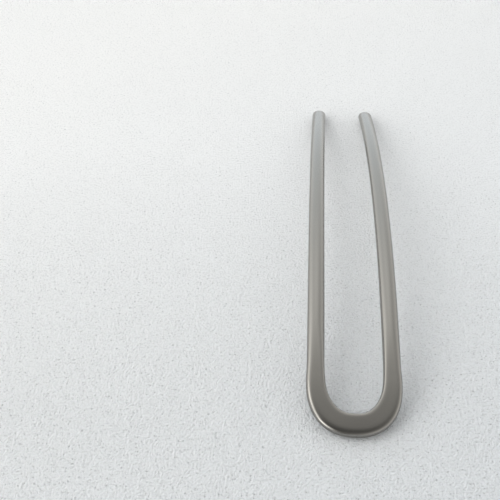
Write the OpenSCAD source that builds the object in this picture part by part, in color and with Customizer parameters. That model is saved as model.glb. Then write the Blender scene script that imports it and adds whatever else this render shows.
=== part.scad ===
// A hair fork made from one length of metal wire. Its two prongs are joined by
// a bow that is pressed flat, and the whole fork is arched to follow the head.
// It lies on its back: the rim of the bow and the two tips touch z = 0.
// X runs across the prongs, Y from the bow to the tips, Z up.

/* [Fork] */
// Length along the arch, from the middle of the bow's band to the tips
fork_length = 120; // [90:1:150]
// Distance between the middles of the two prongs where they leave the bow
prong_spacing = 17.1; // [15:0.1:22]
// Radius of the arch that the fork is bent to
arch_radius = 232; // [150:1:600]

/* [Prongs] */
// Width of a prong, seen from above
prong_width = 4; // [3:0.1:5]
// Thickness of a prong, seen from the side
prong_thickness = 2.8; // [2:0.1:4]
// Squareness of a prong's section: 2 is an ellipse, more is flatter on top
prong_squareness = 2.2; // [2:0.1:4]
// How far each tip is drawn in towards the other
toe_in = 1.6; // [0:0.1:3]
// How late the prongs turn in: more keeps them parallel for longer
toe_in_power = 2.8; // [2:0.1:5]
// Length of the rounded end of a prong
tip_length = 2.6; // [1.5:0.1:4]

/* [Bow] */
// Depth of the bow, from the middle of its band to where the prongs begin
bow_depth = 11.7; // [9:0.1:15]
// Squareness of the bow's curve: 2 is an ellipse, more has fuller shoulders
bow_squareness = 2.4; // [2:0.1:3]
// Width of the flattened band
band_width = 5.4; // [5:0.1:7]
// Thickness of the flattened band
band_thickness = 2.3; // [1.5:0.1:3]
// Squareness of the band's outer half: more gives a flatter face and a tighter rim
outer_squareness = 5.2; // [2:0.1:8]
// Squareness of the band's inner half, whose edge is crisper
inner_squareness = 10; // [2:0.5:14]
// Length at full width, on each side of the bow's middle
full_length = 5.5; // [0:0.5:10]
// Length over which the band narrows to the prong
narrowing = 14; // [8:0.5:30]
// Length over which the flat face runs out into the oval prong
face_run_out = 25; // [10:0.5:40]

/* [Hidden] */
metal = "#8c8a85";
// How finely the section, half of the bow, a prong and its tip are divided
sides = 24;
bow_steps = 18;
prong_steps = 46;
tip_steps = 5;
half_spacing = prong_spacing / 2;
// About the length of half the bow
bow_run = (half_spacing + bow_depth) * PI / 4;
// Shape the quarter of the bow's curve, which is an ellipse when squareness is 2
place_power = 2 / bow_squareness;
slope_power = 2 - place_power;
prong_run = fork_length - bow_depth;

// A station is where the wire's middle line is on one half of the fork, laid
// out flat: [across, along, slope across, slope along, run, tip scale]. The run
// is the length of wire from the bow's middle, and the slopes give the line's
// direction.
function bow_station(turn) = [
    half_spacing * pow(sin(turn), place_power),
    bow_depth * (1 - pow(cos(turn), place_power)),
    half_spacing * pow(cos(turn), slope_power),
    bow_depth * pow(sin(turn), slope_power),
    bow_run * turn / 90,
    1
];

// done goes from 0 at the bow to 1 at the tip
function prong_station(done, tip_scale = 1) = [
    half_spacing - toe_in * pow(done, toe_in_power),
    bow_depth + prong_run * done,
    -toe_in * toe_in_power * pow(done, toe_in_power - 1),
    prong_run,
    bow_run + prong_run * done,
    tip_scale
];

// The tip is a quarter of an ellipse: turn goes from 0 at its root to 90
function tip_station(turn) =
    prong_station(1 - tip_length * (1 - sin(turn)) / prong_run, cos(turn));

half_stations = concat(
    [for (i = [0 : bow_steps]) bow_station(90 * i / bow_steps)],
    [for (i = [1 : prong_steps - 1]) prong_station((1 - tip_length / prong_run) * i / prong_steps)],
    [for (i = [0 : tip_steps - 1]) tip_station(90 * i / tip_steps)]
);

// From 0 to 1 with level ends
function ease(x) = let (t = min(max(x, 0), 1)) t * t * (3 - 2 * t);
function blend(prong, band, share) = prong + (band - prong) * share;

// A point of the section: out is across the wire, away from the fork's middle,
// and up is through its thickness
function section_point(station, angle) = let (
    breadth = ease(1 - (station[4] - full_length) / narrowing),
    flatness = ease(1 - (station[4] - full_length) / face_run_out),
    half_width = blend(prong_width, band_width, breadth) / 2 * station[5],
    half_thickness = blend(prong_thickness, band_thickness, flatness) / 2 * station[5],
    band_squareness = cos(angle) > 0 ? outer_squareness : inner_squareness,
    squareness = blend(prong_squareness, band_squareness, flatness),
    fall = max(0, 1 - pow(abs(cos(angle)), squareness)),
    out = half_width * cos(angle),
    up = half_thickness * sign(sin(angle)) * sqrt(fall),
    slope = norm([station[2], station[3]])
) arched(
    station[0] + out * station[3] / slope,
    station[1] - out * station[2] / slope,
    up
);

// Bends a flat point onto the arch, whose top is over the middle of the length
function arched(across, along, up) = let (
    angle = (along - fork_length / 2) / arch_radius * 180 / PI
) [across, (arch_radius + up) * sin(angle), (arch_radius + up) * cos(angle)];

function ring(station, side) = [
    for (k = [0 : sides - 1])
        let (p = section_point(station, 360 * k / sides))
            [side * p.x, p.y, p.z]
];

half_count = len(half_stations);
left_rings = [for (i = [half_count - 1 : -1 : 1]) ring(half_stations[i], -1)];
right_rings = [for (station = half_stations) ring(station, 1)];
tip = arched(half_spacing - toe_in, fork_length, 0);
arched_points = concat(
    [for (r = left_rings) each r],
    [for (r = right_rings) each r],
    [[-tip.x, tip.y, tip.z], tip]
);

// The prongs are thicker than the band, so the fork leans a little to rest on
// both. Its lowest points on each half of its length give the lean.
function lowest(points) = let (z = min([for (p = points) p.z]))
    [for (p = points) if (p.z == z) p][0];
bow_foot = lowest([for (p = arched_points) if (p.y < 0) p]);
tip_foot = lowest([for (p = arched_points) if (p.y > 0) p]);
lean = atan((tip_foot.z - bow_foot.z) / (tip_foot.y - bow_foot.y));
leaned = [for (p = arched_points) [
    p.x,
    p.y * cos(lean) + p.z * sin(lean),
    p.z * cos(lean) - p.y * sin(lean)
]];
ys = [for (p = leaned) p.y];
floor_z = min([for (p = leaned) p.z]);
middle_y = (min(ys) + max(ys)) / 2;

module fork() {
    ring_count = 2 * half_count - 1;
    left_tip = ring_count * sides;
    last_ring = left_tip - sides;
    walls = [
        for (i = [0 : ring_count - 2], k = [0 : sides - 1])
            let (a = i * sides + k, b = i * sides + (k + 1) % sides)
                each [[a, b, b + sides], [a, b + sides, a + sides]]
    ];
    ends = [
        for (k = [0 : sides - 1])
            let (next = (k + 1) % sides)
                each [[left_tip, next, k], [left_tip + 1, last_ring + k, last_ring + next]]
    ];
    color(metal)
        translate([0, -middle_y, -floor_z])
            polyhedron(leaned, concat(walls, ends), convexity = 6);
}

fork();
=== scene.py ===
"""A satin titanium hair fork, lying on a pale table in soft light from the left."""
import math

import bpy
import numpy as np
from mathutils import Euler, Matrix, Vector


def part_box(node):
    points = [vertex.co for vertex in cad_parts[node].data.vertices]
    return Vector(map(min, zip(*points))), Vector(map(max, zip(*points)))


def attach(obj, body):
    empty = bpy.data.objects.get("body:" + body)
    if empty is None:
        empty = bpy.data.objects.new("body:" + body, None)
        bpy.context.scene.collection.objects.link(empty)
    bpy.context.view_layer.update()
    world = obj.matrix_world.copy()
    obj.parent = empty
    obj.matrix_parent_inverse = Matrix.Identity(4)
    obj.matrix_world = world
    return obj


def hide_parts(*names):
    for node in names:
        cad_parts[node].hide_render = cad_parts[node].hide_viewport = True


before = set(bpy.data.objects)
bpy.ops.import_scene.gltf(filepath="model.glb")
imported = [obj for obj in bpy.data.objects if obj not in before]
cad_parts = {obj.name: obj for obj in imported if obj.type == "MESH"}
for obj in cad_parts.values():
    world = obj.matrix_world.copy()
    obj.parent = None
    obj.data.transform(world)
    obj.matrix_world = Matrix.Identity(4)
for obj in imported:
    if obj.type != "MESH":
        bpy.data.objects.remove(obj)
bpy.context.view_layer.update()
scene = bpy.context.scene

# The view. The fork is seen from above its bow, along the prongs, from a hand's span away,
# so the bow is large and the tips are small. It sits to the right of the middle.
PHOTO_SIDE_PX = 500
FOCAL_PX = 911.5
SENSOR_MM = 36.0
EYE = Vector((-0.01725, -0.17699, 0.16278))
PITCH_DOWN = 42.93
HEADING_LEFT = 2.66
ROLL = 0.30
CLOSEST_SEEN = 0.01

camera = bpy.data.objects.new("view", bpy.data.cameras.new("view"))
camera.data.sensor_width = SENSOR_MM
camera.data.lens = SENSOR_MM * FOCAL_PX / PHOTO_SIDE_PX
camera.data.clip_start = CLOSEST_SEEN
camera.location = EYE
turn = Euler((math.radians(90 - PITCH_DOWN), 0, math.radians(HEADING_LEFT)), "XYZ").to_matrix()
camera.rotation_euler = (turn @ Matrix.Rotation(math.radians(ROLL), 3, "Z")).to_euler()
scene.collection.objects.link(camera)
scene.camera = camera
scene.view_settings.view_transform = "Standard"


# The table: a plain pale top of fine plaster, matt and a little cool in tone. It was floated
# smoother towards its far side, with a fine grain and pits. Its colour carries painted light:
# it is made paler towards the far side and the left, where the lamp's light falls brightest.
# The fork lies on it on its bow and its two tips.
TABLE_SIDE = 6.0
# Painted light: the plaster colour runs from dim at the near right to bright at the far left, following
# the lamp's light
PLASTER_FAR_PAINTED_LIT = (0.975, 0.980, 0.995, 1)
PLASTER_NEAR_PAINTED_DIM = (0.825, 0.860, 0.910, 1)
PLASTER_PIT = (0.620, 0.640, 0.670, 1)
GRAINS_PER_METRE = 2000.0
PITS_PER_METRE = 1900.0
PIT_FROM = 0.665
PIT_SHARPNESS = 16.0
PIT_DEPTH = 0.5
GRAIN_HEIGHT = 0.0007
GRAIN_SHADE = 0.95
GRAIN_CONTRAST = 2.2
MIDDLE_RELIEF = 0.65
RELIEF_LOST_PER_METRE = 6.0
LEAST_RELIEF = 0.42
MIDDLE_PAINTED_LIGHT = 0.46
PAINTED_LIGHT_PER_METRE_AWAY = 3.2
PAINTED_LIGHT_PER_METRE_LEFT = 3.0
PLASTER_ROUGHNESS = 0.7


# The table's plaster is the first node tree, laid out on a bench. A gauge is one output of
# a node, and sums written with gauges add their Math nodes to its bench.
class Gauge:
    def __init__(self, bench, socket):
        self.bench = bench
        self.socket = socket

    def by(self, operation, *others):
        sockets = dict(enumerate((self, *others)))
        return self.bench.lay("ShaderNodeMath", {"operation": operation}, sockets)

    def under(self, operation, first):
        sockets = {0: first, 1: self}
        return self.bench.lay("ShaderNodeMath", {"operation": operation}, sockets)

    def __add__(self, other):
        return self.by("ADD", other)

    __radd__ = __add__

    def __mul__(self, other):
        return self.by("MULTIPLY", other)

    __rmul__ = __mul__

    def __sub__(self, other):
        return self.by("SUBTRACT", other)

    def __rsub__(self, other):
        return self.under("SUBTRACT", other)

    def __truediv__(self, other):
        return self.by("DIVIDE", other)

    def __rtruediv__(self, other):
        return self.under("DIVIDE", other)

    def __pow__(self, other):
        return self.by("POWER", other)

    def __rpow__(self, other):
        return self.under("POWER", other)

    def held(self, low, high):
        return self.by("MAXIMUM", low).by("MINIMUM", high)


class Bench:
    def __init__(self, tree):
        self.tree = tree
        self.tree.nodes.clear()

    def lay(self, kind, settings=None, sockets=None, out=0):
        node = self.tree.nodes.new(kind)
        for name, value in (settings or {}).items():
            setattr(node, name, value)
        for name, value in (sockets or {}).items():
            if isinstance(value, Gauge):
                self.tree.links.new(value.socket, node.inputs[name])
            else:
                node.inputs[name].default_value = value
        return Gauge(self, node.outputs[out]) if len(node.outputs) else None


def pale_table():
    half = TABLE_SIDE / 2
    mesh = bpy.data.meshes.new("table_top")
    corners = [(-half, -half, 0), (half, -half, 0), (half, half, 0), (-half, half, 0)]
    mesh.from_pydata(corners, [], [(0, 1, 2, 3)])
    top = bpy.data.objects.new("table_top", mesh)
    scene.collection.objects.link(top)
    plaster = bpy.data.materials.new("pale_plaster")
    plaster.use_nodes = True
    bench = Bench(plaster.node_tree)
    place = bench.lay("ShaderNodeTexCoord", out=3)
    across, away = (
        bench.lay("ShaderNodeSeparateXYZ", sockets={0: place}, out=axis) for axis in (0, 1)
    )
    grain = bench.lay(
        "ShaderNodeTexNoise",
        sockets={"Vector": place, "Scale": GRAINS_PER_METRE, "Detail": 3.0, "Roughness": 0.6},
    )
    pits = bench.lay(
        "ShaderNodeTexNoise",
        sockets={"Vector": place, "Scale": PITS_PER_METRE, "Detail": 1.0, "Roughness": 0.5},
    )
    pitted = ((pits - PIT_FROM) * PIT_SHARPNESS).held(0, 1)
    relief = (MIDDLE_RELIEF - RELIEF_LOST_PER_METRE * away).held(LEAST_RELIEF, 1)
    # Painted light: the plaster is coloured paler towards the far side and the left, where more light
    # falls
    painted_light_away = MIDDLE_PAINTED_LIGHT + PAINTED_LIGHT_PER_METRE_AWAY * away
    painted_light_share = (painted_light_away - PAINTED_LIGHT_PER_METRE_LEFT * across).held(0, 1)
    pale = bench.lay(
        "ShaderNodeMix",
        {"data_type": "RGBA"},
        {0: painted_light_share, 6: PLASTER_NEAR_PAINTED_DIM, 7: PLASTER_FAR_PAINTED_LIT},
        out=2,
    )
    shade = (GRAIN_SHADE + GRAIN_CONTRAST * (grain - 0.5)).held(0, 1) * (1 - pitted)
    colour = bench.lay(
        "ShaderNodeMix",
        {"data_type": "RGBA"},
        {0: shade, 6: PLASTER_PIT, 7: pale},
        out=2,
    )
    height = relief * (grain - PIT_DEPTH * pitted)
    bump = bench.lay(
        "ShaderNodeBump",
        sockets={"Strength": 1.0, "Distance": GRAIN_HEIGHT, "Height": height},
    )
    surface = bench.lay(
        "ShaderNodeBsdfPrincipled",
        sockets={"Base Color": colour, "Roughness": PLASTER_ROUGHNESS, "Normal": bump},
    )
    bench.lay("ShaderNodeOutputMaterial", sockets={"Surface": surface})
    mesh.materials.append(plaster)


pale_table()


# The light: a round lamp behind a soft screen at the left, and a pale room round it. Each
# glow is a soft patch of the room: a direction in degrees round and up, how tight the patch
# is, and how bright. The far end of the room is cooler in tone than the rest.
def toward(azimuth, elevation):
    around, up = math.radians(azimuth), math.radians(elevation)
    return Vector((math.sin(around) * math.cos(up), math.cos(around) * math.cos(up), math.sin(up)))


LAMP_WIDTH = 0.54
LAMP_AWAY = 0.75
LAMP_TOWARD = toward(-99, 38)
LAMP_BRIGHTNESS = 1.3
LAMP_COLOUR = (1.0, 0.99, 0.96)
ROOM_BRIGHTNESS = 0.02
GLOWS = {
    "left": (toward(-78, 24), 6.85, 1.24),
    "left_lamp": (toward(-70, 38), 22.00, 0.40),
    "upper_left": (toward(-57, 54), 12.30, 0.60),
    "far_wall": (toward(-17, 2), 3.25, 1.45),
    "right_wall": (toward(60, 28), 4.83, 0.70),
    "right_low": (toward(88, 6), 9.00, 0.70),
    "high_wall": (toward(5, 60), 20.00, 0.76),
    "mid_wall": (toward(2, 36), 18.00, 0.15),
    "far_edge": (toward(28, 0), 10.48, 0.65),
    "near_left": (toward(-128, 13), 20.00, 4.60),
    "near_right": (toward(139, 0), 3.60, 1.05),
}
WARM_TINT = (1.015, 1.005, 0.965, 1)
COOL_TINT = (0.940, 1.015, 1.062, 1)
COOL_TOWARD = toward(-3, 12)
COOL_TIGHTNESS = 6.0


def soft_lamp():
    lamp = bpy.data.objects.new("soft_lamp", bpy.data.lights.new("soft_lamp", "AREA"))
    lamp.data.shape = "DISK"
    lamp.data.size = LAMP_WIDTH
    lamp.data.color = LAMP_COLOUR
    disk_area = math.pi * (LAMP_WIDTH / 2) ** 2
    lamp.data.energy = LAMP_BRIGHTNESS * math.pi * disk_area
    lamp.location = LAMP_TOWARD * LAMP_AWAY
    lamp.rotation_euler = LAMP_TOWARD.to_track_quat("Z", "Y").to_euler()
    scene.collection.objects.link(lamp)


def pale_room():
    room = bpy.data.worlds.new("pale_room")
    room.use_nodes = True
    scene.world = room
    bench = Bench(room.node_tree)
    looking = bench.lay("ShaderNodeTexCoord", out=0)

    def patch(middle, tightness):
        dot = {"operation": "DOT_PRODUCT"}
        facing = bench.lay("ShaderNodeVectorMath", dot, {0: looking, 1: middle}, out=1)
        return ((facing - 1) * tightness).by("EXPONENT")

    brightness = ROOM_BRIGHTNESS
    for middle, tightness, strength in GLOWS.values():
        brightness = brightness + strength * patch(middle, tightness)
    tint = bench.lay(
        "ShaderNodeMix",
        {"data_type": "RGBA"},
        {0: patch(COOL_TOWARD, COOL_TIGHTNESS), 6: WARM_TINT, 7: COOL_TINT},
        out=2,
    )
    air = bench.lay("ShaderNodeBackground", sockets={"Color": tint, "Strength": brightness})
    bench.lay("ShaderNodeOutputWorld", sockets={"Surface": air})


soft_lamp()
pale_room()


# The fork: one length of titanium wire, bent to a U, pressed flat at the bow, arched to
# follow the head and rounded at the tips. Its shape is worked out for each station along
# the wire and each point around it, in metres.
FORK = {
    "Fork Length": 0.120,
    "Prong Spacing": 0.0171,
    "Arch Radius": 0.232,
    "Prong Width": 0.0040,
    "Prong Thickness": 0.0028,
    "Prong Squareness": 2.2,
    "Toe In": 0.0016,
    "Toe In Power": 2.8,
    "Tip Length": 0.0026,
    "Bow Depth": 0.0117,
    "Bow Squareness": 2.4,
    "Band Width": 0.0054,
    "Band Thickness": 0.0023,
    "Outer Squareness": 5.2,
    "Inner Squareness": 10.0,
    "Full Length": 0.0055,
    "Narrowing": 0.014,
    "Face Run Out": 0.025,
}
BOW_STEPS = 56
PRONG_STEPS = 250
TIP_STEPS = 16
SIDES = 96
MERGE_WITHIN = 1e-7
QUARTER_TURN = math.pi / 2


def fork_tree(metal):
    tree = bpy.data.node_groups.new("wire_fork", "GeometryNodeTree")
    bench = Bench(tree)
    tree.interface.new_socket("Geometry", in_out="OUTPUT", socket_type="NodeSocketGeometry")
    for name in FORK:
        tree.interface.new_socket(name, in_out="INPUT", socket_type="NodeSocketFloat")
    given = tree.nodes.new("NodeGroupInput")
    size = {name: Gauge(bench, given.outputs[name]) for name in FORK}

    half_count = BOW_STEPS + PRONG_STEPS + TIP_STEPS
    sheet = bench.lay(
        "GeometryNodeMeshGrid",
        sockets={"Vertices X": 2 * half_count + 1, "Vertices Y": SIDES + 1},
    )
    index = bench.lay("GeometryNodeInputIndex")
    station = (index / (SIDES + 1)).by("FLOOR") - half_count
    side = station.by("SIGN")
    step = station.by("ABSOLUTE")
    angle = index.by("MODULO", SIDES + 1) * (2 * math.pi / SIDES)

    half_spacing = size["Prong Spacing"] * 0.5
    prong_run = size["Fork Length"] - size["Bow Depth"]
    # About the length of half the bow
    bow_run = (half_spacing + size["Bow Depth"]) * (math.pi / 4)
    bow_turn = (step / BOW_STEPS).held(0, 1) * QUARTER_TURN
    tip_share = size["Tip Length"] / prong_run
    straight = ((step - BOW_STEPS) / PRONG_STEPS).held(0, 1) * (1 - tip_share)
    tip_turn = ((step - BOW_STEPS - PRONG_STEPS) / TIP_STEPS).held(0, 1) * QUARTER_TURN
    done = straight + tip_share * tip_turn.by("SINE")
    run = bow_run * bow_turn / QUARTER_TURN + prong_run * done

    toe = size["Toe In"] * done ** size["Toe In Power"]
    toe_slope = size["Toe In"] * size["Toe In Power"] * done ** (size["Toe In Power"] - 1)
    place_power = 2 / size["Bow Squareness"]
    slope_power = 2 - place_power
    bow_sine = bow_turn.by("SINE").by("MAXIMUM", 0)
    bow_cosine = bow_turn.by("COSINE").by("MAXIMUM", 0)
    across = half_spacing * bow_sine**place_power - toe
    along = size["Bow Depth"] * (1 - bow_cosine**place_power) + prong_run * done
    slope_across = half_spacing * bow_cosine**slope_power - toe_slope * size["Bow Depth"] / prong_run
    slope_along = size["Bow Depth"] * bow_sine**slope_power
    slope = (slope_across * slope_across + slope_along * slope_along).by("SQRT")

    def eased(length):
        share = (1 - (run - size["Full Length"]) / size[length]).held(0, 1)
        return share * share * (3 - 2 * share)

    def blended(prong, band, share):
        return prong + (band - prong) * share

    breadth = eased("Narrowing")
    flatness = eased("Face Run Out")
    tip_scale = tip_turn.by("COSINE").by("MAXIMUM", 0)
    half_width = 0.5 * blended(size["Prong Width"], size["Band Width"], breadth) * tip_scale
    half_thickness = 0.5 * blended(size["Prong Thickness"], size["Band Thickness"], flatness) * tip_scale
    cosine = angle.by("COSINE")
    sine = angle.by("SINE")
    outside = cosine.by("GREATER_THAN", 0)
    band_squareness = blended(size["Inner Squareness"], size["Outer Squareness"], outside)
    squareness = blended(size["Prong Squareness"], band_squareness, flatness)
    fall = (1 - cosine.by("ABSOLUTE") ** squareness).by("MAXIMUM", 0)
    out = half_width * cosine
    up = half_thickness * sine.by("SIGN") * fall.by("SQRT")

    x = (across + out * slope_along / slope) * side
    flat_y = along - out * slope_across / slope
    arch = (flat_y - size["Fork Length"] * 0.5) / size["Arch Radius"]
    radius = size["Arch Radius"] + up
    y = radius * arch.by("SINE")
    z = radius * arch.by("COSINE")
    place = bench.lay("ShaderNodeCombineXYZ", sockets={0: x, 1: y, 2: z})

    wire = bench.lay("GeometryNodeSetPosition", sockets={"Geometry": sheet, "Position": place})
    kept = {"along_wire": run * side, "around_wire_cos": cosine, "around_wire_sin": sine}
    for name, value in kept.items():
        wire = bench.lay(
            "GeometryNodeStoreNamedAttribute",
            {"data_type": "FLOAT", "domain": "POINT"},
            {"Geometry": wire, "Name": name, "Value": value},
        )
    closed = bench.lay("GeometryNodeMergeByDistance", sockets={"Geometry": wire, "Distance": MERGE_WITHIN})
    smooth = bench.lay("GeometryNodeSetShadeSmooth", sockets={"Geometry": closed})
    real = bench.lay("GeometryNodeRealizeInstances", sockets={"Geometry": smooth})
    done_fork = bench.lay("GeometryNodeSetMaterial", sockets={"Geometry": real, "Material": metal})
    bench.lay("NodeGroupOutput", sockets={0: done_fork})
    return tree


# The finish: titanium tumbled to an even satin, with the fine grain of the tumbling, faint
# lines along the wire from drawing it, and a warm cast that comes and goes. Hair has
# polished the ends of the prongs a little smoother.
METAL_COOL = (0.263, 0.256, 0.243, 1)
METAL_WARM = (0.280, 0.270, 0.254, 1)
CASTS_PER_METRE = 120.0
SATIN_GRAINS_PER_METRE = 4500.0
GRAIN_DEPTH = 0.0001
GRAIN_STRENGTH = 0.08
LINES_PER_RADIUS = 22.0
LINE_RADII_PER_METRE = 4.0
LINE_DEPTH = 0.7
LINE_SHARE_OF_TONE = 0.4
SATIN_ROUGHNESS = 0.17
CAST_ROUGHNESS = 0.05
LINE_ROUGHNESS = 0.04
HAIR_POLISH = 0.03
HAIR_REACH = (0.085, 0.115)


def satin_titanium():
    metal = bpy.data.materials.new("satin_titanium")
    metal.use_nodes = True
    bench = Bench(metal.node_tree)
    place = bench.lay("ShaderNodeTexCoord", out=3)
    along, cosine, sine = (
        bench.lay("ShaderNodeAttribute", {"attribute_name": name}, out=2)
        for name in ("along_wire", "around_wire_cos", "around_wire_sin")
    )
    cast = bench.lay(
        "ShaderNodeTexNoise",
        sockets={"Vector": place, "Scale": CASTS_PER_METRE, "Detail": 3.0, "Roughness": 0.5},
    )
    grain = bench.lay(
        "ShaderNodeTexNoise",
        sockets={"Vector": place, "Scale": SATIN_GRAINS_PER_METRE, "Detail": 2.0, "Roughness": 0.6},
    )
    # The noise is drawn out along the wire: a metre of it counts as only a few radii
    lengthwise = LINE_RADII_PER_METRE * along
    unrolled = bench.lay("ShaderNodeCombineXYZ", sockets={0: lengthwise, 1: cosine, 2: sine})
    drawn = bench.lay(
        "ShaderNodeTexNoise",
        sockets={"Vector": unrolled, "Scale": LINES_PER_RADIUS, "Detail": 3.0, "Roughness": 0.6},
    )
    begins, ends = HAIR_REACH
    polished = ((along.by("ABSOLUTE") - begins) / (ends - begins)).held(0, 1)
    warmth = (1 - LINE_SHARE_OF_TONE) * cast + LINE_SHARE_OF_TONE * drawn
    colour = bench.lay(
        "ShaderNodeMix",
        {"data_type": "RGBA"},
        {0: warmth, 6: METAL_COOL, 7: METAL_WARM},
        out=2,
    )
    satin = SATIN_ROUGHNESS + CAST_ROUGHNESS * cast + LINE_ROUGHNESS * drawn
    roughness = satin - HAIR_POLISH * polished
    height = grain + LINE_DEPTH * drawn
    bump = bench.lay(
        "ShaderNodeBump",
        sockets={"Strength": GRAIN_STRENGTH, "Distance": GRAIN_DEPTH, "Height": height},
    )
    surface = bench.lay(
        "ShaderNodeBsdfPrincipled",
        sockets={"Base Color": colour, "Metallic": 1.0, "Roughness": roughness, "Normal": bump},
    )
    bench.lay("ShaderNodeOutputMaterial", sockets={"Surface": surface})
    return metal


def wire_fork():
    blank = bpy.data.objects.new("wire_blank", bpy.data.meshes.new("wire_blank"))
    scene.collection.objects.link(blank)
    metal = satin_titanium()
    tree = fork_tree(metal)
    former = blank.modifiers.new("wire_fork", "NODES")
    former.node_group = tree
    for item in tree.interface.items_tree:
        if item.in_out == "INPUT":
            former[item.identifier] = FORK[item.name]
    bpy.context.view_layer.update()
    shaped = blank.evaluated_get(bpy.context.evaluated_depsgraph_get())
    mesh = bpy.data.meshes.new_from_object(shaped)
    mesh.name = "hair_fork"
    bpy.data.objects.remove(blank)
    fork = bpy.data.objects.new("hair_fork", mesh)
    scene.collection.objects.link(fork)
    return fork


# The prongs are thicker than the band, so the fork leans a little until the bow and both
# tips touch the table.
def points_of(mesh):
    return np.array([vertex.co for vertex in mesh.vertices])


def set_down(fork):
    points = points_of(fork.data)
    ends = [points[points[:, 1] < 0], points[points[:, 1] > 0]]
    bow_foot, tip_foot = (end[end[:, 2].argmin()] for end in ends)
    lean = math.atan2(tip_foot[2] - bow_foot[2], tip_foot[1] - bow_foot[1])
    fork.data.transform(Matrix.Rotation(-lean, 4, "X"))
    points = points_of(fork.data)
    low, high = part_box("fork")
    shift = (low.y + high.y - points[:, 1].min() - points[:, 1].max()) / 2
    fork.data.transform(Matrix.Translation((0, shift, low.z - points[:, 2].min())))


fork = wire_fork()
set_down(fork)
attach(fork, "root")
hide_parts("fork")
